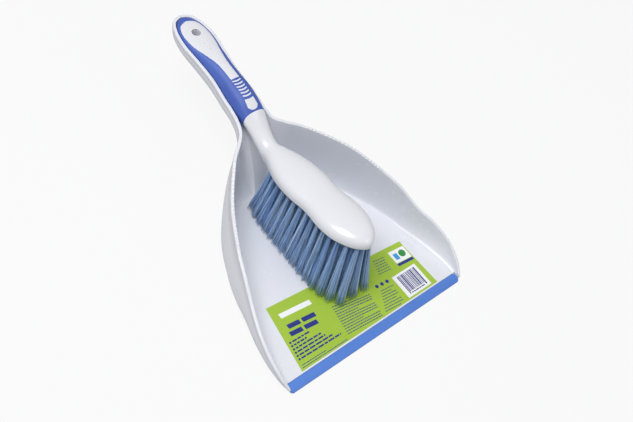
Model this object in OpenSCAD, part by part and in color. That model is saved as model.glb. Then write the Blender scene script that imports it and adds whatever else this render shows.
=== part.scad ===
// Dustpan with a nesting hand brush.
// The pan stands flat on z = 0 with its lip toward -y and its handle toward +y.
// The origin is under the middle of the whole pan. Lengths are in millimetres.

/* [Pan] */
// Width of the tray across its mouth
pan_w = 225; // [200:1:250]
// Length of the tray, from the lip's front edge to the mouth of the handle
tray_l = 222; // [200:1:240]
// Length of the hollow handle behind the tray
handle_l = 124; // [110:1:140]
// Height of the rim where the tray narrows into the handle
wall_h = 70; // [64:1:80]
// Height that the hollow handle climbs from there to its tip
handle_rise = 22; // [12:1:30]
// Thickness of the pan's moulded skin
skin = 2.4; // [2:0.1:3]
// Width of the bead around the rim
bead_w = 3.2; // [2.8:0.1:4]
// Height of the bead around the rim
bead_h = 3.6; // [2.5:0.1:5]
// Height of the comb teeth on the rear stretch of the rim
tooth_h = 0.9; // [0.4:0.1:1.4]
// Number of comb teeth on each side
teeth = 13; // [8:1:16]
// Depth of the soft lip strip, front to back
lip_d = 9.4; // [7:0.1:12]
// Thickness of the lip strip at its rear edge
lip_t = 3.1; // [2.9:0.1:4]

/* [Label] */
// Thickness of the label on the tray floor
label_t = 0.3; // [0.2:0.1:0.5]

/* [Brush] */
// Length of the brush head, nose to heel
head_l = 128; // [115:1:140]
// Widest part of the brush head
head_w = 47; // [40:1:54]
// Thickness of the brush head
head_h = 15; // [14:0.5:18]
// Clearance between the brush handle and the hollow handle it rests in
nest_gap = 0.4; // [0.3:0.1:0.8]
// Thickness of the soft grip
grip_t = 2; // [1.6:0.1:2.4]
// Radius of the hanging hole in the brush handle
brush_hole_r = 4.5; // [3.5:0.1:5]
// Radius of the hanging hole in the pan handle
pan_hole_r = 5; // [4:0.1:6]

/* [Bristles] */
// Radius of a tuft where it leaves the head
tuft_r = 1.9; // [1.5:0.1:2.1]
// Radius of a tuft at its tip
tip_r = 3.6; // [2.4:0.1:3.8]
// Radius of the hole that a tuft is stapled into
socket_r = 2.2; // [2:0.1:2.3]
// Depth of that hole
socket_d = 8; // [6:0.5:9]
// How far the outer tufts lean outwards at their tips
splay = 9.5; // [6:0.5:12]
// How far the front rank leans forwards at its tips
front_lean = 16; // [8:1:20]

/* [Hidden] */
RANKS = 15;
RANK_NAMES = [for (i = [1:RANKS]) str("tuft_rank_", i < 10 ? "0" : "", i)];

fit_gap = 0.3;                  // clearance between pieces that touch softly
overall_l = tray_l + handle_l;
mid_y = overall_l / 2;          // the tables below start at the lip, the origin is here
sx = pan_w / 225;
sy = tray_l / 222;
sz = wall_h / 70;
sh = handle_l / 124;

// Half of the tray, from the lip to the handle's mouth. Each row is one place around the wall:
// rim x, y, z, then the foot of the wall x, y and its height above the floor, then the wall's
// squareness: 2 is round, 4 is nearly a corner.
TRAY = [
    [110.5, 2.6, 3.9, 104.5, 2.6, 0, 2.4],
    [114.2, 14, 13, 105.5, 14, 0, 2.4],
    [115.6, 32, 22.5, 105, 32, 0, 2.4],
    [112, 54, 30, 101, 54, 0, 2.7],
    [104.6, 76, 35.5, 97, 74, 0, 3.1],
    [97.6, 99, 46, 92.5, 98, 0, 3.6],
    [89.4, 120.5, 52, 84.5, 119, 0, 3.8],
    [71.4, 155.6, 61, 69, 148, 0, 3.4],
    [43.4, 190.6, 67, 43, 173, 0, 2.6],
    [27.6, 204.4, 69, 21, 181, 0, 1.9],
    [18.4, 214.5, 70, 7.5, 184, 1.5, 1.5]];
// The hollow handle, from the mouth to the tip: the rim's x, y and its share of the handle's
// climb, then the trough floor's x, y and its depth below the rim, then the squareness.
TROUGH = [
    [15.6, 224.5, 0.17, 5.5, 206, 34, 1.6],
    [14.8, 236, 0.32, 5, 224, 21, 2],
    [14.7, 248, 0.44, 5, 246, 18.6, 2.2],
    [13.2, 270, 0.62, 5, 270, 17.6, 2.3],
    [14.6, 292, 0.78, 5, 292, 17.4, 2.3],
    [16.4, 312, 0.9, 5, 312, 17, 2.3],
    [14.2, 328, 0.97, 4.6, 324, 16.8, 2.3],
    [8.8, 338.8, 1, 2.6, 330, 16.6, 2.3],
    [0, 342.8, 1, 0, 332.6, 16.6, 2.3]];
COMB_FIRST = 6;                 // the comb runs along the two stretches after this row
COMB_ROWS = 2;
WALL_STEPS = 6;                 // facets from the foot of the wall to the rim

// Half of the brush, nose to tip, as cross-sections: half width, y, height of the widest line,
// underside, top, squareness below, squareness above, forward lean of the section.
HEAD_SLOPE = 0.138;             // the head's underside climbs this much per unit toward the nose
HEEL_Y = 182;
HEEL_Z = 55.2;
NOSE_Y = HEEL_Y - head_l;

function head_z(y) = HEEL_Z + HEAD_SLOPE * (HEEL_Y - y);
function head_row(along, half, rise, top) =
    let (y = NOSE_Y + along * head_l)
    [half * head_w / 47, y, head_z(y) + rise, head_z(y), head_z(y) + top * head_h / 15, 7, 2.3, 0];

HEAD = [
    head_row(0, 0.6, 2.4, 3.6),
    head_row(0.012, 5, 2.6, 7.5),
    head_row(0.05, 11.5, 3, 11.2),
    head_row(0.11, 17, 3.2, 13.8),
    head_row(0.21, 22.2, 3.4, 15),
    head_row(0.34, 23.5, 3.6, 15.2),
    head_row(0.5, 21.2, 3.8, 15),
    head_row(0.65, 22.8, 4, 15.2),
    head_row(0.8, 21.4, 4.4, 15.2),
    head_row(0.91, 17.4, 5, 14.8),
    head_row(1, 12.6, 5.4, 14)];
NECK = [
    [10.4, 190, 57.5, 47.5, 67.6, 2.2, 2, 0.2],
    [10.3, 199, 61, 50.5, 71, 2, 2, 0.4],
    [11.2, 210, 67.5, 56.5, 77, 2, 2, 0.4],
    [12.8, 219.5, 73, 63, 82, 2, 2, 0.15]];
// The handle, from the grip's end to the tip: half width and y, then the heights over the rim
// of the hollow handle beside it: widest line, underside and top.
HANDLE = [
    [12.9, 221, 1.4, -9.4, 9.6, 0.12],
    [14, 233, -0.6, -14.5, 12, 0.1],
    [14.3, 248, -1, -17.4, 11.6, 0],
    [12.8, 270, -1, -16.8, 10, 0],
    [14.2, 292, -1, -16.8, 7, 0],
    [16, 312, -1, -16.4, 4.4, 0],
    [13.8, 328, -1, -15, 2.6, 0],
    [9.4, 336.6, -1, -11.5, 1.5, 0],
    [5, 340.6, -1.4, -6.5, 0.8, 0],
    [0.8, 341.7, -1.8, -2.6, -0.9, 0]];
SECTION = 28;                   // facets around a brush cross-section

HOLE_Y = 322;                   // both hanging holes share this axis
HOLE_TILT = 9;                  // which stands square to the hollow handle's floor
boss_h = 4.6;
PANEL = [[257, 5], [276, 5.4], [291, 8.6], [303, 12], [314, 13.4], [324, 12.6], [332, 8.6], [335.5, 0]];
RIB_HALF = 5;
RIBS = 6;
RIB_PITCH = 3.5;
RIB_FIRST_Y = 236.6;
rib_r = 0.85;
PATCH = [[-5.2, 234.6], [5.2, 234.6], [6, 227], [3.4, 224.4], [0, 223.6], [-3.4, 224.4], [-6, 227]];

LABEL = [[-90.5, 11.4], [88.6, 11.2], [86.6, 66], [-79, 77.5]];

SOCKET_FIRST = 0.055;           // the first and last ranks, as shares of the head's length
SOCKET_LAST = 0.925;
SOCKET_EDGE = 4.8;              // outer sockets sit this far inside the head's edge
REAR_LEAN = 2;
anchor_w = 3.4;                 // flat wire anchor that holds a folded tuft in its socket
anchor_t = 0.5;
anchor_h = 1.8;

// ---- Smooth curves through the rows of a table ----

function blend(a, b, c, d, t) =
    0.5 * ((2 * b) + (c - a) * t + (2 * a - 5 * b + 4 * c - d) * t * t
    + (3 * b - a - 3 * c + d) * t * t * t);
function row_at(rows, i, t) =
    let (n = len(rows) - 1)
    blend(rows[max(i - 1, 0)], rows[i], rows[min(i + 1, n)], rows[min(i + 2, n)], t);
function smooth(rows, steps) =
    [for (i = [0:len(rows) - 2]) for (j = [0:steps[i] - 1]) row_at(rows, i, j / steps[i]),
    rows[len(rows) - 1]];
function even(rows, count) = smooth(rows, [for (i = [1:len(rows) - 1]) count]);

// ---- The pan's skin ----

function rim_climb(share) = wall_h + share * handle_rise;
function tray_row(r) =
    [r[0] * sx, r[1] * sy, r[2] * sz, r[3] * sx, r[4] * sy, skin + r[5], r[6]];
function trough_row(r) =
    let (rim = rim_climb(r[2]), y = tray_l + (r[1] - 222) * sh, foot_y = tray_l + (r[4] - 222) * sh)
    [r[0], y, rim, r[3], foot_y, rim - r[5], r[6]];
PAN_ROWS = concat([for (r = TRAY) tray_row(r)], [for (r = TROUGH) trough_row(r)]);
PAN_STEPS = [for (i = [0:len(PAN_ROWS) - 2])
    i >= COMB_FIRST && i < COMB_FIRST + COMB_ROWS ? teeth : 3];
HALF_PAN = [for (r = smooth(PAN_ROWS, PAN_STEPS))
    [r[0], r[1], r[2], r[3], r[4], max(skin, r[5]), r[6]]];
HALF = len(HALF_PAN) - 1;
// Rim height of the hollow handle at a given y
function rim_z(y) = lookup(y, [for (r = PAN_ROWS) [r[1], r[2]]]);

comb_start = COMB_FIRST * 3;
comb_end = comb_start + COMB_ROWS * teeth;
function tooth(i) = i > comb_start && i < comb_end && (i - comb_start) % 2 == 1 ? tooth_h : 0;

// Rows all the way round, left lip corner to right lip corner, with the mirror sign last.
ROUND = concat([for (i = [0:HALF]) concat(HALF_PAN[i], [-1, tooth(i)])],
    [for (i = [HALF - 1:-1:0]) concat(HALF_PAN[i], [1, tooth(i)])]);
LAST = len(ROUND) - 1;

function wall_point(r, j) =
    let (a = 90 * j / WALL_STEPS, out = pow(sin(a), 2 / r[6]), up = 1 - pow(cos(a), 2 / r[6]),
        top = r[2] - bead_drop(r))
    [r[7] * (r[3] + (r[0] - r[3]) * out), r[4] + (r[1] - r[4]) * out, r[5] + (top - r[5]) * up];
function bead_drop(r) = min(bead_h + 0.8, 0.4 * (r[2] - r[5]));
INNER = [for (r = ROUND) [for (j = [0:WALL_STEPS]) wall_point(r, j)]];

function unit(v) = v / norm(v);
function flat_foot(r) = r[5] <= skin + 0.001;
// Outward normal of the wall at row i, step j
function along(i, j) = INNER[min(i + 1, LAST)][j] - INNER[max(i - 1, 0)][j];
function across(i, j) =
    j == 0 ? [ROUND[i][7] * max(ROUND[i][3], 1), 0, 0] + INNER[i][1] - INNER[i][0]
    : INNER[i][min(j + 1, WALL_STEPS)] - INNER[i][j - 1];
function outward(i, j) = unit(cross(across(i, j), along(i, j)));
function outer_point(i, j) =
    let (p = INNER[i][j])
    j == 0 && flat_foot(ROUND[i]) ? [p[0], p[1], 0]
    : let (q = p + skin * outward(i, j)) [q[0], i == 0 || i == LAST ? p[1] : q[1], max(q[2], 0)];
// Level outward direction of the rim
function rim_out(i) =
    let (o = outward(i, WALL_STEPS)) i == 0 || i == LAST ? [ROUND[i][7], 0, 0] : unit([o[0], o[1], 0]);
function bead(i) =
    let (r = ROUND[i], p = [r[7] * r[0], r[1], r[2]], o = rim_out(i), t = r[8],
        drop = bead_drop(r) - min(0.8, 0.1 * (r[2] - r[5])),
        w = max(skin + 0.4, min(bead_w, 1.2 * drop)))
    [p + [0, 0, -0.6 * min(1, drop)], p + 0.7 * o + [0, 0, t], p + (w - 0.9) * o + [0, 0, t],
    p + w * o + [0, 0, t * 0.5 - 0.25 * drop], p + w * o - [0, 0, drop]];
BEAD = 5;
RING = 2 * (WALL_STEPS + 1) + BEAD;
SKIN_RINGS = [for (i = [0:LAST]) concat(INNER[i], bead(i),
    [for (j = [WALL_STEPS:-1:0]) outer_point(i, j)])];

function quad(a, b, c, d) = [[a, b, c], [a, c, d]];
function pan_id(i, j) = i * RING + j;
// Rows on the flat floor, counted from the lip, and the rows of the rising strip behind it.
FLAT = len([for (i = [0:HALF]) if (flat_foot(ROUND[i])) i]) - 1;
function flat_loop(j) =
    concat([for (i = [0:FLAT]) pan_id(i, j)], [for (i = [LAST - FLAT:LAST]) pan_id(i, j)]);
function reversed(v) = [for (i = [len(v) - 1:-1:0]) v[i]];

SKIN_FACES = concat(
    [for (i = [0:LAST - 1]) for (j = [0:RING - 2])
        each quad(pan_id(i, j), pan_id(i, j + 1), pan_id(i + 1, j + 1), pan_id(i + 1, j))],
    [flat_loop(0), reversed(flat_loop(RING - 1))],
    [for (i = [FLAT:HALF - 2])
        each quad(pan_id(i, 0), pan_id(i + 1, 0), pan_id(LAST - i - 1, 0), pan_id(LAST - i, 0))],
    [[pan_id(HALF - 1, 0), pan_id(HALF, 0), pan_id(HALF + 1, 0)]],
    [for (i = [FLAT:HALF - 2])
        each quad(pan_id(LAST - i, RING - 1), pan_id(LAST - i - 1, RING - 1),
            pan_id(i + 1, RING - 1), pan_id(i, RING - 1))],
    [[pan_id(HALF + 1, RING - 1), pan_id(HALF, RING - 1), pan_id(HALF - 1, RING - 1)]],
    [concat([for (j = [0:RING - 1]) pan_id(LAST, j)], [for (j = [RING - 1:-1:0]) pan_id(0, j)])]);

module placed() {
    translate([0, -mid_y, 0]) children();
}

module pan_skin() {
    polyhedron([for (r = SKIN_RINGS) each r], SKIN_FACES);
}

// ---- Brush sections ----

function near_rim(r) =
    let (y = tray_l + (r[1] - 222) * sh, z = rim_z(y), more = nest_gap - 0.4)
    [max(r[0] - more, 0.4), y, z + r[2], z + r[3] + more, z + r[4], 2.2, 2.2, r[5]];
HANDLE_ROWS = [for (r = HANDLE) near_rim(r)];

// A cross-section drawn in by d on every side
function section(r, d) =
    let (half = max(r[0] - d, 0.4), low = min(r[3] + d, r[2] - 0.3), high = max(r[4] - d, r[2] + 0.3))
    [for (k = [0:SECTION - 1])
        let (a = 360 * k / SECTION - 90, n = sin(a) < 0 ? r[5] : r[6],
            u = sign(cos(a)) * pow(abs(cos(a)), 2 / n), v = pow(abs(sin(a)), 2 / n),
            z = sin(a) < 0 ? r[2] - v * (r[2] - low) : r[2] + v * (high - r[2]))
        [half * (abs(cos(a)) < 0.001 ? 0 : u), r[1] + r[7] * (z - r[2]), z]];
function brush_id(i, k) = i * SECTION + (k + SECTION) % SECTION;
module loft(rings) {
    last = len(rings) - 1;
    polyhedron([for (r = rings) each r], concat(
        [for (i = [0:last - 1]) for (k = [0:SECTION - 1])
            each quad(brush_id(i, k), brush_id(i, k + 1), brush_id(i + 1, k + 1), brush_id(i + 1, k))],
        [[for (k = [SECTION - 1:-1:0]) brush_id(0, k)], [for (k = [0:SECTION - 1]) brush_id(last, k)]]));
}

// The handle's rows up to its tip, with the tip drawn in by d
function handle_rings(d) =
    let (first = HANDLE_ROWS[0][1], full = HANDLE_ROWS[len(HANDLE_ROWS) - 1][1] - first, k = 1 - d / full)
    [for (r = even(HANDLE_ROWS, 3))
        section([r[0], first + (r[1] - first) * k, r[2], r[3], r[4], r[5], r[6], r[7]], d)];
function moved(ring, step) = [for (p = ring) p + step];

// ---- Tufts ----

HEAD_HALF = [for (r = HEAD) [r[1], r[0]]];
function rank_y(i) =
    NOSE_Y + head_l * (SOCKET_LAST + (SOCKET_FIRST - SOCKET_LAST) * (i - 1) / (RANKS - 1));
function rank_edge(i) = lookup(rank_y(i), HEAD_HALF) - SOCKET_EDGE;
function rank_count(i) = rank_edge(i) > 13 ? 5 : rank_edge(i) > 9 ? 4 : 3;
function root_x(i, k) = rank_edge(i) * (2 * k / (rank_count(i) - 1) - 1);
function root(i, k) = [root_x(i, k), rank_y(i), head_z(rank_y(i))];
function lean(i) = REAR_LEAN + (front_lean - REAR_LEAN) * pow((i - 1) / (RANKS - 1), 1.4);
tip_z = skin + label_t + fit_gap;
function tip(i, k) =
    [root_x(i, k) * (1 + splay / rank_edge(i)), rank_y(i) - lean(i), tip_z];

// Places children at a tuft's root with z pointing along the tuft, away from its tip
module at_root(i, k) {
    way = unit(root(i, k) - tip(i, k));
    translate(root(i, k))
        rotate([0, acos(way[2]), atan2(way[1], way[0])]) children();
}
module each_root(i) {
    for (k = [0:rank_count(i) - 1]) at_root(i, k) children();
}

module tuft_rank(i) {
    reach = norm(root(i, 0) - tip(i, 0)) + tip_r;
    color("steelblue") placed()
        intersection() {
            each_root(i) {
                translate([0, 0, -0.5])
                    cylinder(r = tuft_r, h = socket_d - anchor_h - fit_gap + 0.5, $fn = 32);
                translate([0, 0, -reach]) cylinder(r1 = tip_r, r2 = tuft_r, h = reach - 0.5, $fn = 32);
            }
            translate([-pan_w / 2, 0, tip_z]) cube([pan_w, tray_l, wall_h + handle_rise]);
        }
}

module tuft_anchors() {
    color("silver") placed()
        for (i = [1:RANKS]) each_root(i)
            translate([-anchor_w / 2, -anchor_t / 2, socket_d - anchor_h])
                cube([anchor_w, anchor_t, anchor_h - 0.2]);
}

// ---- Hanging hole ----

floor_rows = [for (r = PAN_ROWS) [r[4], r[5]]];
hole_z = lookup(HOLE_Y, floor_rows);
module at_hole() {
    translate([0, HOLE_Y, hole_z]) rotate([HOLE_TILT, 0, 0]) children();
}

// ---- Brush ----

panel_z = rim_z(tray_l + handle_l) - 9;
rib_z = rim_z(tray_l + 16);

// Openings in the top of the grip, each drawn in by d
module panel_shape(d) {
    half = [for (i = [0:len(PANEL) - 1])
        let (p = PANEL[i], in_y = i == 0 ? d : i == len(PANEL) - 1 ? -d : 0)
        [max(p[1] - d, 0), p[0] + in_y]];
    polygon(concat(half, [for (i = [len(half) - 2:-1:0]) [-half[i][0], half[i][1]]]));
}
module rib_shapes(d) {
    for (i = [0:RIBS - 1]) translate([0, RIB_FIRST_Y + i * RIB_PITCH]) {
        square([2 * (RIB_HALF - rib_r), 2 * (rib_r - d)], center = true);
        for (side = [-1, 1]) translate([side * (RIB_HALF - rib_r), 0]) circle(r = rib_r - d, $fn = 24);
    }
}
module patch_shape(d) {
    middle = [0, 229.5];
    polygon([for (p = PATCH) let (v = p - middle) middle + v * (1 - d / norm(v))]);
}
module windows(d) {
    translate([0, 0, panel_z]) linear_extrude(wall_h) panel_shape(d);
    translate([0, 0, rib_z]) linear_extrude(wall_h) {
        rib_shapes(d);
        patch_shape(d);
    }
}

module brush_stock() {
    end = HANDLE_ROWS[0];
    front = even(concat(HEAD, NECK), 3);
    inlay = 0.35;
    color("white") placed()
        difference() {
            union() {
                loft(concat([for (r = front) section(r, 0)], [section(end, 0)],
                    handle_rings(grip_t + fit_gap)));
                intersection() {
                    loft(handle_rings(inlay));
                    windows(fit_gap);
                }
            }
            for (i = [1:RANKS]) each_root(i)
                translate([0, 0, -3]) cylinder(r = socket_r, h = socket_d + 3, $fn = 32);
            at_hole() cylinder(r = brush_hole_r, h = 60, $fn = 48);
        }
}

module brush_grip() {
    outer = handle_rings(0);
    inner = handle_rings(grip_t);
    color("royalblue") placed()
        difference() {
            loft(concat([moved(outer[0], [0, fit_gap, 0])],
                [for (i = [1:len(outer) - 1]) outer[i]]));
            loft(concat([moved(inner[0], [0, -2, 0])], inner));
            windows(0);
            at_hole() cylinder(r = brush_hole_r + 0.6, h = 60, $fn = 48);
        }
}

// ---- Pan ----

lip_half = pan_w / 2 - 1;
tongue_low = 0.9;
tongue_top = 1.5;

module dustpan_body() {
    cut_w = 2 * (lip_half + fit_gap);
    color("white") placed()
        difference() {
            union() {
                pan_skin();
                at_hole() translate([0, 0, -boss_h])
                    cylinder(r = pan_hole_r + 3, h = boss_h - skin / 2, $fn = 48);
            }
            at_hole() translate([0, 0, -20]) cylinder(r = pan_hole_r, h = 40, $fn = 48);
            translate([-cut_w / 2, -10, tongue_top]) cube([cut_w, lip_d + fit_gap + 10, 40]);
            translate([-cut_w / 2, -10, tongue_low - 10]) cube([cut_w, lip_d + fit_gap + 10, 10]);
        }
}

module lip_strip() {
    slot_low = tongue_low - fit_gap;
    slot_top = tongue_top + fit_gap;
    slot_y = 2.6 * sy - fit_gap;
    end_r = 3;
    color("cornflowerblue") placed()
        intersection() {
            translate([-lip_half, 0, 0]) rotate([90, 0, 90]) linear_extrude(2 * lip_half)
                polygon([[0.4, 0], [lip_d, 0], [lip_d, slot_low], [slot_y, slot_low], [slot_y, slot_top],
                    [lip_d, slot_top], [lip_d, lip_t - 0.4], [lip_d - 0.6, lip_t], [lip_d - 3.4, lip_t],
                    [slot_y - 0.1, lip_t - 0.6], [0, 0.9], [0, 0.3]]);
            translate([0, 0, -1]) linear_extrude(lip_t + 2) {
                translate([-lip_half + end_r, 0]) square([2 * (lip_half - end_r), lip_d]);
                translate([-lip_half, end_r]) square([2 * lip_half, lip_d - 2 * end_r]);
                for (side = [-1, 1]) for (y = [end_r, lip_d - end_r])
                    translate([side * (lip_half - end_r), y]) circle(r = end_r, $fn = 32);
            }
        }
}

module floor_label() {
    color("yellowgreen") placed()
        translate([0, 0, skin]) linear_extrude(label_t)
            polygon([for (p = LABEL) [p[0] * sx, p[1]]]);
}

dustpan_body();
lip_strip();
floor_label();
brush_stock();
brush_grip();
tuft_anchors();
for (i = [1:RANKS])
    tuft_rank(i);
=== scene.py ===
"""Dustpan with its hand brush lying in the hollow handle, in metres, lip toward -y."""

import math
import random

import bmesh
import bpy
from mathutils import Matrix, Vector


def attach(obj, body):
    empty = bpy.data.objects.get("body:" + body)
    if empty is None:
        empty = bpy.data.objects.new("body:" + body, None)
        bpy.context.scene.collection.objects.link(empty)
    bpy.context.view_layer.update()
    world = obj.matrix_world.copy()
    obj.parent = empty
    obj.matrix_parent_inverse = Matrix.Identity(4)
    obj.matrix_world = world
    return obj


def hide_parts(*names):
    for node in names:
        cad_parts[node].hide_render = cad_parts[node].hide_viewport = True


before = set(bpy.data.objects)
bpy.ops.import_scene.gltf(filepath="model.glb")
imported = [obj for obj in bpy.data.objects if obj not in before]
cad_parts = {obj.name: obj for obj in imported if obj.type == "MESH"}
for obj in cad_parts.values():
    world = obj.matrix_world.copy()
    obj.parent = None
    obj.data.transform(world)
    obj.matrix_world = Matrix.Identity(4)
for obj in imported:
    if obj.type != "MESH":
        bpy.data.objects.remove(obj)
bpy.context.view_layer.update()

# ---- Dustpan ----
# One injection moulding in glossy white polypropylene: a tray with curved walls that run
# together into a hollow handle. A rounded bead stiffens the whole rim, and its rear stretch
# carries a comb of small teeth that cleans the bristles.

MID_Y = 173                     # the shape tables start at the lip, the frame at the middle
SKIN = 2.4
BEAD_W = 3.08
BEAD_H = 3.6
# Around half of the tray: rim x, y, z, foot of the wall x, y, its height over the floor, and
# the squareness of the wall.
TRAY = [
    [110.5, 2.6, 3.9, 104.5, 2.6, 0, 2.4],
    [114.2, 14, 13, 105.5, 14, 0, 2.4],
    [115.6, 32, 22.5, 105, 32, 0, 2.4],
    [112, 54, 30, 101, 54, 0, 2.7],
    [104.6, 76, 35.5, 97, 74, 0, 3.1],
    [97.6, 99, 46, 92.5, 98, 0, 3.6],
    [89.4, 120.5, 52, 84.5, 119, 0, 3.8],
    [71.4, 155.6, 61, 69, 148, 0, 3.4],
    [43.4, 190.6, 67, 43, 173, 0, 2.6],
    [27.6, 204.4, 69, 21, 181, 0, 1.9],
    [18.4, 214.5, 70, 7.5, 184, 1.5, 1.5]]
# Along the hollow handle: rim x, y, share of the climb, floor x, y, depth under the rim, and
# the squareness.
TROUGH = [
    [15.6, 224.5, 0.17, 5.5, 206, 34, 1.6],
    [14.8, 236, 0.32, 5, 224, 21, 2],
    [14.7, 248, 0.44, 5, 246, 18.6, 2.2],
    [13.2, 270, 0.62, 5, 270, 17.6, 2.3],
    [14.6, 292, 0.78, 5, 292, 17.4, 2.3],
    [16.4, 312, 0.9, 5, 312, 17, 2.3],
    [14.2, 328, 0.97, 4.6, 324, 16.8, 2.3],
    [8.8, 338.8, 1, 2.6, 330, 16.6, 2.3],
    [0, 342.8, 1, 0, 332.6, 16.6, 2.3]]
WALL_H = 70
RISE = 22
TOOTH_H = 0.8
TEETH = 22                      # on each side, over the two stretches after row 6
TOOTH_STEPS = 8
COMB = (6, 8)
HOLE_Y = 322
HOLE_TILT = math.radians(9)
PAN_HOLE = 5


def along_curve(rows, i, t):
    last = len(rows) - 1
    a, b, c, d = (rows[min(max(k, 0), last)] for k in (i - 1, i, i + 1, i + 2))
    return [0.5 * (2 * q + (r - p) * t + (2 * p - 5 * q + 4 * r - s) * t * t
                   + (3 * q - p - 3 * r + s) * t ** 3) for p, q, r, s in zip(a, b, c, d)]


def smooth_rows(rows, steps):
    out = [along_curve(rows, i, j / n) for i, n in enumerate(steps) for j in range(n)]
    return out + [list(rows[-1])]


def build(name, points, faces, body, finish, smooth_angle=40):
    """A mesh piece from points in millimetres from the lip, riding on a body."""
    mesh = bpy.data.meshes.new(name)
    mesh.from_pydata([(x / 1000, (y - MID_Y) / 1000, z / 1000) for x, y, z in points], [], faces)
    bm = bmesh.new()
    bm.from_mesh(mesh)
    bmesh.ops.remove_doubles(bm, verts=bm.verts, dist=2e-6)
    bmesh.ops.dissolve_degenerate(bm, dist=1e-6, edges=bm.edges)
    bmesh.ops.recalc_face_normals(bm, faces=bm.faces)
    if bm.calc_volume(signed=True) < 0:
        bmesh.ops.reverse_faces(bm, faces=bm.faces)
    bm.to_mesh(mesh)
    bm.free()
    mesh.shade_smooth()
    mesh.set_sharp_from_angle(angle=math.radians(smooth_angle))
    piece = bpy.data.objects.new(name, mesh)
    bpy.context.scene.collection.objects.link(piece)
    mesh.materials.append(finish)
    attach(piece, body)
    return piece


def cut(piece, name, points, faces):
    """Takes a closed shape away from a piece."""
    mesh = bpy.data.meshes.new(name)
    mesh.from_pydata([(x / 1000, (y - MID_Y) / 1000, z / 1000) for x, y, z in points], [], faces)
    bm = bmesh.new()
    bm.from_mesh(mesh)
    bmesh.ops.recalc_face_normals(bm, faces=bm.faces)
    bm.to_mesh(mesh)
    bm.free()
    tool = bpy.data.objects.new(name, mesh)
    bpy.context.scene.collection.objects.link(tool)
    modifier = piece.modifiers.new("cut", "BOOLEAN")
    modifier.operation = "DIFFERENCE"
    modifier.solver = "MANIFOLD"
    modifier.object = tool
    graph = bpy.context.evaluated_depsgraph_get()
    result = bpy.data.meshes.new_from_object(piece.evaluated_get(graph))
    piece.modifiers.clear()
    old = piece.data
    piece.data = result
    bpy.data.meshes.remove(old)
    bpy.data.objects.remove(tool)
    bpy.data.meshes.remove(mesh)


def prism(outline, low, high):
    """Points and faces of an upright prism over an outline in x and y."""
    n = len(outline)
    points = [(x, y, low) for x, y in outline] + [(x, y, high) for x, y in outline]
    sides = [(i, (i + 1) % n, n + (i + 1) % n, n + i) for i in range(n)]
    return points, sides + [tuple(range(n - 1, -1, -1)), tuple(range(n, 2 * n))]


class Value:
    """A number socket that adds its Math nodes as it is reckoned with."""

    def __init__(self, finish, socket):
        self.finish = finish
        self.socket = socket

    def math(self, operation, *others, clamp=False):
        node = self.finish.node("ShaderNodeMath", {"operation": operation, "use_clamp": clamp},
                                {i: v for i, v in enumerate(others)})
        return Value(self.finish, node.outputs[0])

    def __add__(self, other):
        return self.math("ADD", self, other)

    def __sub__(self, other):
        return self.math("SUBTRACT", self, other)

    def __rsub__(self, other):
        return self.math("SUBTRACT", other, self)

    def __mul__(self, other):
        return self.math("MULTIPLY", self, other)

    def clamped(self):
        return self.math("ADD", self, 0.0, clamp=True)

    __radd__ = __add__
    __rmul__ = __mul__


class Finish:
    """One material with a Principled shader; steady values go straight onto its sockets."""

    def __init__(self, name, **steady):
        self.material = bpy.data.materials.new(name)
        self.material.use_nodes = True
        self.tree = self.material.node_tree
        self.shader = self.tree.nodes["Principled BSDF"]
        for key, value in steady.items():
            self.shader.inputs[key.replace("_", " ")].default_value = value
        self.place = self.node("ShaderNodeTexCoord").outputs["Object"]

    def node(self, kind, settings=None, sockets=None):
        node = self.tree.nodes.new(kind)
        for key, value in (settings or {}).items():
            setattr(node, key, value)
        for key, value in (sockets or {}).items():
            if isinstance(value, Value):
                value = value.socket
            if isinstance(value, bpy.types.NodeSocket):
                self.tree.links.new(value, node.inputs[key])
            else:
                node.inputs[key].default_value = value
        return node

    def noise(self, scale, detail=3.0, rough=0.55, stretch=(1, 1, 1)):
        place = self.node("ShaderNodeMapping", None,
                          {"Vector": self.place, "Scale": stretch}).outputs[0]
        node = self.node("ShaderNodeTexNoise", None,
                         {"Vector": place, "Scale": scale, "Detail": detail, "Roughness": rough})
        return Value(self, node.outputs["Fac"])

    def steep(self, value, low, high):
        """Nought below low, one above high."""
        node = self.node("ShaderNodeMapRange", {"interpolation_type": "SMOOTHSTEP"},
                         {"Value": value, "From Min": low, "From Max": high})
        return Value(self, node.outputs[0])

    def mix(self, share, first, second):
        node = self.node("ShaderNodeMix", {"data_type": "RGBA"}, {0: share, 6: first, 7: second})
        return node.outputs[2]

    def set(self, **inputs):
        for key, value in inputs.items():
            if isinstance(value, Value):
                value = value.socket
            self.tree.links.new(value, self.shader.inputs[key.replace("_", " ")])
        return self.material

    def bump(self, height, strength, distance):
        node = self.node("ShaderNodeBump", None,
                         {"Height": height, "Strength": strength, "Distance": distance})
        return node.outputs[0]


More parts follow.
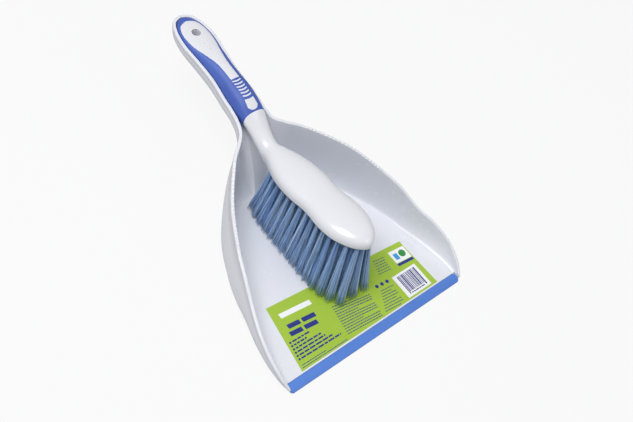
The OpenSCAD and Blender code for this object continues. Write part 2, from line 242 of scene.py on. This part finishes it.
def white_plastic(name, pale, deep, gloss, scuffs):
    finish = Finish(name, Specular_IOR_Level=0.5, Coat_Roughness=0.12)
    cloud = finish.noise(6, 3)
    grain = finish.noise(900, 2)
    dapple = finish.noise(130, 3)
    scratch = finish.steep(finish.noise(60, 5, 0.7, (14, 1, 4)), 0.66, 0.74) * scuffs
    cross = finish.steep(finish.noise(48, 5, 0.7, (1, 11, 3)), 0.67, 0.75) * scuffs
    wear = (scratch + cross).clamped()
    dust = finish.steep(finish.noise(22, 6, 0.65), 0.52, 0.8) * (0.15 * scuffs)
    color = finish.mix(finish.steep(cloud, 0.35, 0.65), pale, deep)
    color = finish.mix(wear * 0.3, color, (0.70, 0.71, 0.74, 1))
    color = finish.mix(dust, color, (0.62, 0.62, 0.62, 1))
    rough = cloud * 0.07 + dapple * 0.05 + wear * 0.25 + dust * 0.3 + gloss
    height = grain * 0.08 + dapple * 0.3 - wear * 0.3
    return finish.set(Base_Color=color, Roughness=rough, Normal=finish.bump(height, 0.06, 0.0003))


def pan_row(row):
    rim = WALL_H + row[2] * RISE
    return [row[0], row[1], rim, row[3], row[4], rim - row[5], row[6]]


def bead_drop(row):
    return min(BEAD_H + 0.8, 0.4 * (row[2] - row[5]))


def make_pan():
    wall = 18
    rows = [r[:5] + [SKIN + r[5], r[6]] for r in TRAY] + [pan_row(r) for r in TROUGH]
    comb_stretch = TEETH * TOOTH_STEPS // 2
    steps = [comb_stretch if COMB[0] <= i < COMB[1] else 7 for i in range(len(rows) - 1)]
    half = smooth_rows(rows, steps)
    for row in half:
        row[5] = max(SKIN, row[5])
    start = sum(steps[:COMB[0]])
    stop = sum(steps[:COMB[1]])

    def tooth(i):
        if not start < i < stop:
            return 0.0
        wave = 0.5 - 0.5 * math.cos(2 * math.pi * (i - start) / TOOTH_STEPS)
        return TOOTH_H * wave ** 0.7

    last = len(half) - 1
    ring_rows = [(r, -1, tooth(i)) for i, r in enumerate(half)]
    ring_rows += [(half[i], 1, tooth(i)) for i in range(last - 1, -1, -1)]
    count = len(ring_rows)
    inner = []
    for row, side, lift in ring_rows:
        line = []
        for j in range(wall + 1):
            a = math.pi / 2 * (j / wall) ** 1.3
            out = math.sin(a) ** (2 / row[6])
            up = 1 - max(math.cos(a), 0) ** (2 / row[6])
            top = row[2] - bead_drop(row)
            line.append(Vector((side * (row[3] + (row[0] - row[3]) * out),
                                row[4] + (row[1] - row[4]) * out, row[5] + (top - row[5]) * up)))
        inner.append(line)

    def outward(i, j):
        along = inner[min(i + 1, count - 1)][j] - inner[max(i - 1, 0)][j]
        if j == 0:
            side = ring_rows[i][1]
            across = Vector((side * max(ring_rows[i][0][3], 1), 0, 0)) + inner[i][1] - inner[i][0]
        else:
            across = inner[i][min(j + 1, wall)] - inner[i][j - 1]
        return across.cross(along).normalized()

    rings = []
    for i, (row, side, lift) in enumerate(ring_rows):
        end = i in (0, count - 1)
        rim = Vector((side * row[0], row[1], row[2]))
        face = outward(i, wall)
        out = Vector((side, 0, 0)) if end else Vector((face.x, face.y, 0)).normalized()
        tall = Vector((0, 0, 1))
        drop = bead_drop(row) - min(0.8, 0.1 * (row[2] - row[5]))
        width = max(SKIN + 0.4, min(BEAD_W, 1.2 * drop))
        bead = []
        for k in range(5):
            a = math.pi / 2 * k / 4
            r = 0.7 * min(1, drop)
            bead.append(rim + out * (r * (1 - math.cos(a))) + tall * (lift * (k > 0) - r * (1 - math.sin(a))))
        for k in range(6):
            a = math.pi / 2 * k / 5
            r = min(1.1, 0.45 * drop)
            bead.append(rim + out * (width - r + r * math.sin(a)) + tall * (lift * (1 - k / 6) - r * (1 - math.cos(a))))
        bead.append(rim + out * width - tall * (drop - 0.5))
        bead.append(rim + out * (width - 0.35) - tall * drop)
        outer = []
        for j in range(wall, -1, -1):
            point = inner[i][j]
            if j == 0 and row[5] <= SKIN + 0.001:
                outer.append(Vector((point.x, point.y, 0)))
                continue
            moved = point + SKIN * outward(i, j)
            outer.append(Vector((moved.x, point.y if end else moved.y, max(moved.z, 0))))
        rings.append(inner[i] + bead + outer)
    size = len(rings[0])
    points = [p for ring in rings for p in ring]
    faces = [(i * size + j, i * size + j + 1, (i + 1) * size + j + 1, (i + 1) * size + j)
             for i in range(count - 1) for j in range(size - 1)]
    columns = 16
    for skin_side in (0, size - 1):
        base = len(points)
        for i in range(last + 1):
            left, right = rings[i][skin_side], rings[count - 1 - i][skin_side]
            points += [left.lerp(right, k / columns) for k in range(columns + 1)]
        faces += [(base + i * (columns + 1) + k, base + i * (columns + 1) + k + 1,
                   base + (i + 1) * (columns + 1) + k + 1, base + (i + 1) * (columns + 1) + k)
                  for i in range(last) for k in range(columns)]
    front_top, front_low = len(points) - 2 * (last + 1) * (columns + 1), len(points) - (last + 1) * (columns + 1)
    faces += [(front_top + k, front_top + k + 1, front_low + k + 1, front_low + k) for k in range(columns)]
    faces += [tuple(range(size)), tuple(range((count - 1) * size, count * size))]
    pan = build("pan_shell", points, faces, "pan",
                white_plastic("pan plastic", (0.825, 0.84, 0.885, 1), (0.79, 0.805, 0.86, 1), 0.2, 0.6))
    lip_cut = [(-111.8, -5), (111.8, -5), (111.8, 9.7), (-111.8, 9.7)]
    cut(pan, "lip_seat", *prism(lip_cut, -1, 40))
    centre = Vector((0, HOLE_Y, WALL_H + RISE * 0.945 - 16.9))
    turn = Matrix.Rotation(HOLE_TILT, 3, "X")
    circle = [(PAN_HOLE * math.cos(math.tau * k / 64), PAN_HOLE * math.sin(math.tau * k / 64)) for k in range(64)]
    hole, hole_faces = prism(circle, -20, 12)
    cut(pan, "hang_hole", [centre + turn @ Vector(p) for p in hole], hole_faces)
    pan.data.shade_smooth()
    pan.data.set_sharp_from_angle(angle=math.radians(40))
    return pan, centre, turn


pan, hole_centre, hole_turn = make_pan()
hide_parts("dustpan_body")


# The hanging hole is stiffened by a round boss moulded under the hollow handle.
def make_boss():
    profile = [(PAN_HOLE, -1.4), (PAN_HOLE, -4.2), (PAN_HOLE + 0.4, -4.6), (PAN_HOLE + 2.5, -4.6),
               (PAN_HOLE + 2.9, -4.2), (PAN_HOLE + 3, -3.6), (PAN_HOLE + 3, -1.4)]
    n = len(profile)
    turns = 72
    points = [hole_centre + hole_turn @ Vector((r * math.cos(math.tau * k / turns), r * math.sin(math.tau * k / turns), z))
              for k in range(turns) for r, z in profile]
    faces = [(k * n + j, k * n + (j + 1) % n, (k + 1) % turns * n + (j + 1) % n, (k + 1) % turns * n + j)
             for k in range(turns) for j in range(n)]
    return build("hang_boss", points, faces, "pan", pan.data.materials[0])


make_boss()

# ---- Lip strip ----
# A soft blue thermoplastic rubber strip moulded over the front edge of the tray, with rounded
# ends and a feathered front, so that it lies flat on the floor and lets dust over.

LIP_HALF = 111.5
LIP_D = 9.4
LIP_T = 3.1


def make_lip():
    corner = 3.0
    outline = []
    for cx, cy, first in ((LIP_HALF - corner, LIP_D - corner, 0), (-LIP_HALF + corner, LIP_D - corner, 90),
                          (-LIP_HALF + corner, corner, 180), (LIP_HALF - corner, corner, 270)):
        for k in range(10):
            a = math.radians(first + 90 * k / 9)
            outline.append((cx + corner * math.cos(a), cy + corner * math.sin(a)))
    centre_y = LIP_D / 2

    def top(y):
        return 0.95 + (LIP_T - 0.95) * min(1, max(0, (y - 0.2) / 5.4)) ** 0.7

    loops = [(0.35, 0.0, 1), (0.0, 0.3, 0), (0.0, -0.45, 2), (0.15, -0.15, 2), (0.5, 0.0, 2)]
    points = []
    for inset, lift, kind in loops:
        for x, y in outline:
            nx = x - math.copysign(min(inset, abs(x)), x) if abs(x) > LIP_HALF - corner else x
            ny = y + (inset if y < centre_y else -inset) * min(1, abs(y - centre_y) / (centre_y - corner))
            z = lift if kind < 2 else top(ny) + lift
            points.append((nx, ny, z))
    n = len(outline)
    faces = [(r * n + k, r * n + (k + 1) % n, (r + 1) * n + (k + 1) % n, (r + 1) * n + k)
             for r in range(len(loops) - 1) for k in range(n)]
    faces.append(tuple(range(n - 1, -1, -1)))
    top_base = (len(loops) - 1) * n
    faces.append(tuple(range(top_base, top_base + n)))
    return points, faces


lip_rubber = Finish("lip rubber", Specular_IOR_Level=0.35)
lip_cloud = lip_rubber.noise(26, 5)
lip_grain = lip_rubber.noise(1400, 2)
lip_rub = lip_rubber.steep(lip_rubber.noise(90, 5, 0.7, (1, 5, 3)), 0.6, 0.72)
lip_color = lip_rubber.mix(lip_cloud, (0.085, 0.215, 0.66, 1), (0.11, 0.255, 0.72, 1))
lip_color = lip_rubber.mix(lip_rub * 0.22, lip_color, (0.22, 0.36, 0.74, 1))
lip_rubber.set(Base_Color=lip_color, Roughness=lip_cloud * 0.12 + lip_rub * 0.15 + 0.42,
               Normal=lip_rubber.bump(lip_grain + lip_rub * 0.6, 0.25, 0.0003))
lip_points, lip_faces = make_lip()
lip = build("lip_seal", lip_points, lip_faces, "pan", lip_rubber.material, 30)
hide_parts("lip_strip")

# ---- Floor label ----
# A printed green film stuck to the tray's floor behind the lip. Its print is generic bars,
# stripes and simple shapes, in navy ink and white.

label = Finish("label film", Specular_IOR_Level=0.5, Coat_Roughness=0.2)
label_cloud = label.noise(14, 4)
label_crease = label.steep(label.noise(40, 4, 0.6, (1, 4, 1)), 0.62, 0.7)
label_color = label.mix(label_cloud, (0.36, 0.55, 0.045, 1), (0.41, 0.60, 0.06, 1))
label_color = label.mix(label_crease * 0.12, label_color, (0.5, 0.66, 0.2, 1))
label.set(Base_Color=label_color, Roughness=label_cloud * 0.1 + label_crease * 0.1 + 0.33,
          Normal=label.bump(label_cloud * 0.6 + label_crease * 0.4, 0.12, 0.0006))
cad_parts["floor_label"].data.materials.clear()
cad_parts["floor_label"].data.materials.append(label.material)


def ink(name, color, rough):
    finish = Finish(name, Specular_IOR_Level=0.4)
    tone = finish.noise(300, 3)
    pale = tuple(min(1, c * 1.25 + 0.01) for c in color[:3]) + (1,)
    return finish.set(Base_Color=finish.mix(tone, color, pale), Roughness=tone * 0.1 + rough,
                      Normal=finish.bump(finish.noise(1500, 2), 0.1, 0.0001))


class Print:
    """Flat shapes of one ink on the label."""

    def __init__(self, name, height, material):
        self.name, self.height, self.material = name, height, material
        self.points, self.faces = [], []

    def shape(self, outline):
        first = len(self.points)
        self.points += [(x, y, self.height) for x, y in outline]
        self.faces.append(tuple(range(first, first + len(outline))))

    def bar(self, x0, y0, x1, y1, slope=0.0):
        rise = (x1 - x0) * slope
        self.shape([(x0, y0), (x1, y0 + rise), (x1, y1 + rise), (x0, y1)])

    def disc(self, x, y, rx, ry, steps=28):
        self.shape([(x + rx * math.cos(math.tau * k / steps), y + ry * math.sin(math.tau * k / steps))
                    for k in range(steps)])

    def words(self, x0, x1, y, tall, seed, slope=-0.035):
        """A greeked line: short bars for words, with small gaps."""
        source = random.Random(seed)
        x = x0
        while x < x1 - 1:
            end = min(x1, x + source.uniform(1.6, 4.6) * tall)
            self.bar(x, y + (x - x0) * slope, end, y + tall + (x - x0) * slope, slope)
            x = end + 0.55 * tall

    def finish(self):
        return build(self.name, self.points, self.faces, "pan", self.material)


white_print = Print("label_white", 2.72, ink("white print", (0.86, 0.87, 0.88, 1), 0.4))
navy_print = Print("label_navy", 2.74, ink("navy print", (0.018, 0.03, 0.2, 1), 0.4))
green_print = Print("label_dark_green", 2.74, ink("green print", (0.03, 0.25, 0.05, 1), 0.4))
sky_print = Print("label_sky_blue", 2.74, ink("sky print", (0.03, 0.30, 0.65, 1), 0.4))

# A plain white band over two heavy greeked lines
white_print.bar(-73, 62, -38, 67, -0.09)
navy_print.words(-73.5, -42.5, 50, 4.6, 11, -0.1)
navy_print.words(-76.5, -45.5, 43, 4.6, 12, -0.1)
# Six bullets, each with a line of words
for k, length in enumerate((22, 15, 30, 33, 41, 48)):
    y = 37.8 - k * 3.4
    left = -82.9 - k * 0.64
    navy_print.disc(left + 1.2, y + 0.9, 1.25, 1.05)
    navy_print.words(left + 3.4, left + 3.4 + length, y, 1.6, 30 + k, -0.02)
navy_print.words(-87, -57, 15.6, 0.7, 41, -0.02)
navy_print.words(-88, -33, 13.3, 0.7, 42, -0.012)
# Small print in the middle and on the right
for k in range(12):
    left = -24 - k * 0.5
    navy_print.words(left, left + (43 if k % 4 else 24), 45.5 - k * 2.65, 0.8, 50 + k, -0.16 + k * 0.008)
for k in range(6):
    navy_print.words(45.5 - k * 0.9, 59 - k * 0.5, 61.6 - k * 2.7, 0.75, 70 + k, -0.1)
for k in range(8):
    navy_print.words(30 - k * 1.6, 46 - k * 0.3 - (5 if k % 3 == 1 else 0), 33.2 - k * 2.7, 0.75, 80 + k, -0.09)
# Three equal dots in a row
for k in range(3):
    navy_print.disc(30 + k * 6.5, 39.5 - k * 0.5, 1.9, 1.9)
# White panel with a green disc and a blue block, over a navy band
white_print.bar(66, 48, 86, 62, -0.08)
navy_print.bar(66, 44.5, 86, 47.5, -0.08)
green_print.disc(79.5, 54.5, 4, 4)
sky_print.bar(69, 51, 74, 58, -0.08)
# White box with upright navy stripes
white_print.bar(50, 13, 82, 39)
stripes = random.Random(7)
x = 54.6
while x < 78.5:
    wide = stripes.choice((0.7, 1.1, 1.6))
    navy_print.bar(x, 17.6 if 56 < x < 76 else 15.4, x + wide, 36.6)
    x += wide + stripes.choice((0.6, 0.8, 1.0))
navy_print.words(57, 76, 15.4, 1.1, 91, -0.01)
for printed in (white_print, navy_print, green_print, sky_print):
    printed.finish()

# ---- Brush head, neck and handle core ----
# One white polypropylene moulding: a waisted head that carries the bristles, a round neck and
# the core of the handle. Its grey-white faces show through the windows of the soft grip.

HEEL_Y = 182
HEEL_Z = 55.2
HEAD_L = 128
NOSE_Y = HEEL_Y - HEAD_L
SLOPE = 0.138
# Along the head: share of its length, half width, height of the widest line, thickness
HEAD = [
    (0, 0.6, 2.4, 3.6), (0.012, 5, 2.6, 7.5), (0.05, 11.5, 3, 11.2), (0.11, 17, 3.2, 13.8),
    (0.21, 22.2, 3.4, 15), (0.34, 23.5, 3.6, 15.2), (0.5, 21.2, 3.8, 15), (0.65, 22.8, 4, 15.2),
    (0.8, 21.4, 4.4, 15.2), (0.91, 17.4, 5, 14.8), (1, 12.6, 5.4, 14)]
# Neck sections: half width, y, widest line, underside, top, squareness below and above, lean
NECK = [
    [10.4, 190, 57.5, 47.5, 67.6, 2.2, 2, 0.2],
    [10.3, 199, 61, 50.5, 71, 2, 2, 0.4],
    [11.2, 210, 67.5, 56.5, 77, 2, 2, 0.4],
    [12.8, 219.5, 73, 63, 82, 2, 2, 0.15]]
# Handle sections: half width, y, then widest line, underside and top over the rim beside them
HANDLE = [
    [12.9, 221, 1.4, -9.4, 9.6, 0.12],
    [14, 233, -0.6, -14.5, 12, 0.1],
    [14.3, 248, -1, -17.4, 11.6, 0],
    [12.8, 270, -1, -16.8, 10, 0],
    [14.2, 292, -1, -16.8, 7, 0],
    [16, 312, -1, -16.4, 4.4, 0],
    [13.8, 328, -1, -15, 2.6, 0],
    [9.4, 336.6, -1, -11.5, 1.5, 0],
    [5, 340.6, -1.4, -6.5, 0.8, 0],
    [0.8, 341.7, -1.8, -2.6, -0.9, 0]]
AROUND = 96
RIM_LINE = [(r[1], r[2]) for r in TRAY] + [(r[1], WALL_H + r[2] * RISE) for r in TROUGH]
INLAY = 0.36                    # how far the core's faces lie under the grip's surface


def lookup(table, y):
    for (y0, z0), (y1, z1) in zip(table, table[1:]):
        if y <= y1:
            return z0 + (z1 - z0) * max(0, (y - y0) / (y1 - y0))
    return table[-1][1]


def head_z(y):
    return HEEL_Z + SLOPE * (HEEL_Y - y)


def quarter(half, tall, n, steps):
    """A quarter of a squared-off oval from its widest point, in steps of even length."""
    fine = [(half * math.cos(math.pi / 2 * k / 160) ** (2 / n), tall * math.sin(math.pi / 2 * k / 160) ** (2 / n))
            for k in range(160)] + [(0.0, tall)]
    run = [0.0]
    for (x0, z0), (x1, z1) in zip(fine, fine[1:]):
        run.append(run[-1] + math.hypot(x1 - x0, z1 - z0))
    out, k = [], 0
    for j in range(steps):
        goal = run[-1] * j / steps
        while run[k + 1] < goal:
            k += 1
        t = (goal - run[k]) / (run[k + 1] - run[k])
        out.append((fine[k][0] + (fine[k + 1][0] - fine[k][0]) * t, fine[k][1] + (fine[k + 1][1] - fine[k][1]) * t))
    return out + [(0.0, tall)]


def section(row, inset):
    half = max(row[0] - inset, 0.3)
    low = max(row[2] - row[3] - inset, 0.3)
    high = max(row[4] - row[2] - inset, 0.3)
    upper = quarter(half, high, row[6], AROUND // 4)
    lower = [(x, -z) for x, z in quarter(half, low, row[5], AROUND // 4)]
    ring = lower[::-1] + upper[1:] + [(-x, z) for x, z in upper[-2::-1]] + [(-x, z) for x, z in lower[1:-1]]
    return [(x, row[1] + row[7] * z, row[2] + z) for x, z in ring]


def loft(rings):
    faces = [(i * AROUND + k, i * AROUND + (k + 1) % AROUND, (i + 1) * AROUND + (k + 1) % AROUND, (i + 1) * AROUND + k)
             for i in range(len(rings) - 1) for k in range(AROUND)]
    last = (len(rings) - 1) * AROUND
    return [p for r in rings for p in r], faces + [tuple(range(AROUND - 1, -1, -1)), tuple(range(last, last + AROUND))]


HANDLE_ROWS = [[r[0], r[1]] + [lookup(RIM_LINE, r[1]) + v for v in r[2:5]] + [2.2, 2.2, r[5]] for r in HANDLE]


def handle_rings(inset, steps=8):
    first, last = HANDLE_ROWS[0][1], HANDLE_ROWS[-1][1]
    squeeze = 1 - inset / (last - first)
    rows = smooth_rows(HANDLE_ROWS, [steps] * (len(HANDLE_ROWS) - 1))
    return [section([r[0], first + (r[1] - first) * squeeze] + r[2:], inset) for r in rows]


def hanging_hole(piece, radius):
    circle = [(radius * math.cos(math.tau * k / 64), radius * math.sin(math.tau * k / 64)) for k in range(64)]
    hole, hole_faces = prism(circle, -4, 40)
    cut(piece, "hole", [hole_centre + hole_turn @ Vector(p) for p in hole], hole_faces)


front_rows = [[h, NOSE_Y + s * HEAD_L, head_z(NOSE_Y + s * HEAD_L) + m, head_z(NOSE_Y + s * HEAD_L),
               head_z(NOSE_Y + s * HEAD_L) + t, 7, 2.3, 0] for s, h, m, t in HEAD] + NECK
front = smooth_rows(front_rows, [8] * (len(front_rows) - 1))
core_points, core_faces = loft([section(r, 0) for r in front] + [section(HANDLE_ROWS[0], 0)] + handle_rings(INLAY))
core = build("brush_core", core_points, core_faces, "brush",
             white_plastic("brush plastic", (0.815, 0.82, 0.86, 1), (0.79, 0.795, 0.84, 1), 0.1, 0.5), 50)
hanging_hole(core, 4.5)
core.data.shade_smooth()
core.data.set_sharp_from_angle(angle=math.radians(50))
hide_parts("brush_stock")

# ---- Soft grip ----
# Blue thermoplastic rubber moulded over the handle core. Windows in its top leave a long panel,
# six thumb ribs and a small shield of the white core showing.

PANEL = [(257, 5), (276, 5.4), (291, 8.6), (303, 12), (314, 13.4), (324, 12.6), (332, 8.6), (335.5, 0)]
PATCH = [(-5.2, 234.6), (0, 233.6), (5.2, 234.6), (6, 227), (3.4, 224.4), (0, 223.6), (-3.4, 224.4), (-6, 227)]
grip_outer = handle_rings(0.14)
grip_points, grip_faces = loft([[(x, y + 0.25, z) for x, y, z in grip_outer[0]]] + grip_outer[1:])
soft_blue = Finish("grip rubber", Specular_IOR_Level=0.4)
grip_cloud = soft_blue.noise(30, 4)
grip_grain = soft_blue.noise(1600, 2)
# Glossier patches of the rubber, also painted a lighter blue as a painted sheen.
grip_gloss_and_painted_sheen = soft_blue.steep(soft_blue.noise(16, 3), 0.45, 0.7)
grip_color = soft_blue.mix(grip_cloud, (0.052, 0.105, 0.42, 1), (0.078, 0.145, 0.53, 1))
grip_color = soft_blue.mix(grip_gloss_and_painted_sheen * 0.15, grip_color, (0.13, 0.22, 0.64, 1))
soft_blue.set(Base_Color=grip_color, Roughness=grip_cloud * 0.1 - grip_gloss_and_painted_sheen * 0.08 + 0.4,
              Normal=soft_blue.bump(grip_grain, 0.2, 0.0003))
grip = build("soft_grip", grip_points, grip_faces, "brush", soft_blue.material, 50)
panel_line = smooth_rows([list(p) for p in PANEL], [5] * (len(PANEL) - 1))
panel_line = [(y, max(h, 0)) for y, h in panel_line]
panel_outline = [(h, y) for y, h in panel_line[:-1]] + [(0, PANEL[-1][0])] + [(-h, y) for y, h in panel_line[-2::-1]]
cut(grip, "panel_window", *prism(panel_outline, 82, 130))
for k in range(6):
    y = 236.9 + k * 3.4
    upper = [(-5 + 10 * j / 12, y + 0.8 + 1.3 * (2 * j / 12 - 1) ** 2) for j in range(13)]
    lower = [(x, v - 1.6) for x, v in reversed(upper)]
    cut(grip, "rib_window", *prism(lower + upper, 74, 130))
cut(grip, "patch_window", *prism(PATCH, 74, 130))
hanging_hole(grip, 5.1)
grip.data.shade_smooth()
grip.data.set_sharp_from_angle(angle=math.radians(50))
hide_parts("brush_grip")

# ---- Bristles ----
# Fifteen ranks of blue crimped filaments. Each tuft is folded round a flat wire anchor and
# driven into its own hole in the head, then all tips are trimmed nearly level.

RANKS = 15
TUFT_R = 1.75
TIP_R = 4.9
SPLAY = 9.5
PER_TUFT = 78
TIP_Z = 3.0
HEAD_HALF = [(NOSE_Y + s * HEAD_L, h) for s, h, m, t in HEAD]

bristle = Finish("bristle filament", Specular_IOR_Level=0.35)
tint = bristle.node("ShaderNodeVertexColor", {"layer_name": "strand"})
strand = bristle.node("ShaderNodeSeparateColor", None, {"Color": tint.outputs["Color"]})
per_strand = Value(bristle, strand.outputs[0])
up_strand = Value(bristle, strand.outputs[1])
bristle_color = bristle.mix(per_strand, (0.18, 0.38, 0.82, 1), (0.64, 0.83, 1.0, 1))
# Painted shade: the filaments are painted darker navy toward their roots, where the tuft shades itself under the head.
bristle_color = bristle.mix((1 - bristle.steep(up_strand, 0.05, 0.4)) * 0.28, bristle_color, (0.07, 0.16, 0.40, 1))
bristle_color = bristle.mix(bristle.steep(up_strand, 0.75, 1.0) * 0.4, bristle_color, (0.46, 0.62, 0.86, 1))
bristle.set(Base_Color=bristle_color, Roughness=per_strand * 0.15 + bristle.noise(400, 2) * 0.1 + 0.32,
            Normal=bristle.bump(bristle.noise(2500, 2), 0.15, 0.0002))


def make_rank(index):
    source = random.Random(100 + index)
    y = NOSE_Y + HEAD_L * (0.925 + (0.055 - 0.925) * (index - 1) / (RANKS - 1))
    edge = lookup(HEAD_HALF, y) - 4.8
    count = 5 if edge > 13 else 4 if edge > 9 else 3
    lean = 2 + 14 * ((index - 1) / (RANKS - 1)) ** 1.4
    points, faces, tones = [], [], []
    for k in range(count):
        x = edge * (2 * k / (count - 1) - 1)
        root = Vector((x, y, head_z(y)))
        tip = Vector((x * (1 + SPLAY / edge), y - lean, TIP_Z))
        axis = (tip - root).normalized()
        root -= axis * 3
        side = axis.cross(Vector((0, 1, 0))).normalized()
        other = axis.cross(side)
        droop = source.uniform(-0.8, 0.8)
        for f in range(PER_TUFT):
            angle = f * 2.39996 + source.uniform(-0.2, 0.2)
            spread = math.sqrt((f + 0.5) / PER_TUFT)
            flare = TIP_R * spread * source.uniform(0.8, 1.12)
            short = source.uniform(0, 0.05) + (0.06 if source.random() < 0.08 else 0)
            tone = min(1, max(0, source.gauss(0.5, 0.3)))
            phase, crimp = source.uniform(0, math.tau), source.uniform(0.04, 0.16)
            thick = source.uniform(0.21, 0.29)
            bend = source.gauss(0, 0.65)
            sweep = source.gauss(0, 0.65)
            first = len(points)
            levels = 7
            for j in range(levels):
                t = j / (levels - 1)
                s = t * (1 - short)
                radius = TUFT_R * spread + (flare - TUFT_R * spread) * s ** 1.15
                middle = root.lerp(tip, s)
                middle = middle + side * (radius * math.cos(angle) + crimp * math.sin(phase + 9 * s) * s
                                          + (bend + droop) * s * s)
                middle = middle + other * (radius * math.sin(angle) + crimp * math.cos(phase + 9 * s) * s
                                           + sweep * s * s)
                middle.z = max(middle.z, TIP_Z + 0.25)
                for c in range(3):
                    a = math.tau * c / 3 + phase
                    points.append(middle + side * (thick * math.cos(a)) + other * (thick * math.sin(a)))
                    tones.append((tone, s, 0, 1))
            faces += [(first + j * 3 + c, first + j * 3 + (c + 1) % 3, first + (j + 1) * 3 + (c + 1) % 3, first + (j + 1) * 3 + c)
                      for j in range(levels - 1) for c in range(3)]
            end = first + (levels - 1) * 3
            faces += [(end, end + 1, end + 2), (first + 2, first + 1, first)]
    name = "bristle_rank_%02d" % index
    mesh = bpy.data.meshes.new(name)
    mesh.from_pydata([(p.x / 1000, (p.y - MID_Y) / 1000, p.z / 1000) for p in points], [], faces)
    layer = mesh.color_attributes.new("strand", "FLOAT_COLOR", "POINT")
    layer.data.foreach_set("color", [v for tone in tones for v in tone])
    mesh.shade_smooth()
    mesh.materials.append(bristle.material)
    piece = bpy.data.objects.new(name, mesh)
    bpy.context.scene.collection.objects.link(piece)
    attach(piece, "brush")
    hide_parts("tuft_rank_%02d" % index)


for rank in range(1, RANKS + 1):
    make_rank(rank)

# ---- Wire anchors ----
# Flat nickel-plated wire, cut and driven across each folded tuft at the bottom of its hole.

anchor = Finish("anchor wire", Metallic=1.0)
anchor_tone = anchor.noise(500, 4)
anchor.set(Base_Color=anchor.mix(anchor_tone, (0.55, 0.54, 0.52, 1), (0.66, 0.65, 0.62, 1)),
           Roughness=anchor_tone * 0.2 + 0.25, Normal=anchor.bump(anchor_tone, 0.2, 0.0002))
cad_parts["tuft_anchors"].data.materials.clear()
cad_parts["tuft_anchors"].data.materials.append(anchor.material)

# ---- Studio ----
# A pale studio floor, one broad soft lamp straight above and a weaker one in front.

sweep = bpy.data.meshes.new("studio_floor")
sweep.from_pydata([(-6, -6, 0), (6, -6, 0), (6, 6, 0), (-6, 6, 0)], [], [(0, 1, 2, 3)])
floor = bpy.data.objects.new("studio_floor", sweep)
bpy.context.scene.collection.objects.link(floor)
floor_finish = Finish("studio floor", Specular_IOR_Level=0.2)
floor_tone = floor_finish.noise(3, 2)
floor_finish.set(Base_Color=floor_finish.mix(floor_tone, (0.60, 0.60, 0.61, 1), (0.63, 0.63, 0.64, 1)),
                 Roughness=floor_tone * 0.1 + 0.7)
floor_path = floor_finish.node("ShaderNodeLightPath")
floor_seen = Value(floor_finish, floor_path.outputs["Is Camera Ray"]) * 0.88
floor_white = floor_finish.node("ShaderNodeEmission", None, {"Color": (1, 1, 1, 1), "Strength": 1.0})
floor_blend = floor_finish.node("ShaderNodeMixShader", None, {
    0: floor_seen, 1: floor_finish.shader.outputs[0], 2: floor_white.outputs[0]})
floor_finish.tree.links.new(floor_blend.outputs[0], floor_finish.tree.nodes["Material Output"].inputs["Surface"])
sweep.materials.append(floor_finish.material)

world = bpy.data.worlds.new("studio")
world.use_nodes = True
sky = world.node_tree
sky_light = sky.nodes["Background"]
sky_light.inputs["Color"].default_value = (0.95, 0.97, 1.0, 1)
sky_light.inputs["Strength"].default_value = 0.37
sky_seen = sky.nodes.new("ShaderNodeBackground")
sky_seen.inputs["Color"].default_value = (1, 1, 1, 1)
sky_blend = sky.nodes.new("ShaderNodeMixShader")
sky.links.new(sky.nodes.new("ShaderNodeLightPath").outputs["Is Camera Ray"], sky_blend.inputs[0])
sky.links.new(sky_light.outputs[0], sky_blend.inputs[1])
sky.links.new(sky_seen.outputs[0], sky_blend.inputs[2])
sky.links.new(sky_blend.outputs[0], sky.nodes["World Output"].inputs["Surface"])
bpy.context.scene.world = world


def lamp(name, at, size, power, color):
    light = bpy.data.lights.new(name, "AREA")
    light.shape = "RECTANGLE"
    light.size, light.size_y = size
    light.energy = power
    light.color = color
    piece = bpy.data.objects.new(name, light)
    piece.location = at
    piece.rotation_euler = (Vector((0, -0.02, 0.03)) - Vector(at)).to_track_quat("-Z", "Y").to_euler()
    bpy.context.scene.collection.objects.link(piece)


lamp("top_lamp", (-0.62, 0.1, 1.5), (0.9, 0.9), 18, (1.0, 0.99, 0.98))
lamp("front_lamp", (0.5, -1.1, 1.1), (0.8, 0.4), 2.5, (0.98, 0.99, 1.0))

# ---- Camera ----

azimuth, elevation, roll = (math.radians(v) for v in (-62.0, 50.6, 26.6))
target = Vector((0.015, -0.047, 0.030))
back = Vector((math.sin(azimuth) * math.cos(elevation), -math.cos(azimuth) * math.cos(elevation), math.sin(elevation)))
right = Vector((math.cos(azimuth), math.sin(azimuth), 0))
above = back.cross(right)
tilted_right = math.cos(roll) * right + math.sin(roll) * above
tilted_above = math.cos(roll) * above - math.sin(roll) * right
camera_data = bpy.data.cameras.new("camera")
camera_data.sensor_width = 36
camera_data.lens = 36 * 1000 / 633
camera = bpy.data.objects.new("camera", camera_data)
camera.matrix_world = Matrix((
    (tilted_right.x, tilted_above.x, back.x, target.x + 0.946 * back.x),
    (tilted_right.y, tilted_above.y, back.y, target.y + 0.946 * back.y),
    (tilted_right.z, tilted_above.z, back.z, target.z + 0.946 * back.z),
    (0, 0, 0, 1)))
bpy.context.scene.collection.objects.link(camera)
bpy.context.scene.camera = camera
bpy.context.scene.view_settings.view_transform = "Standard"
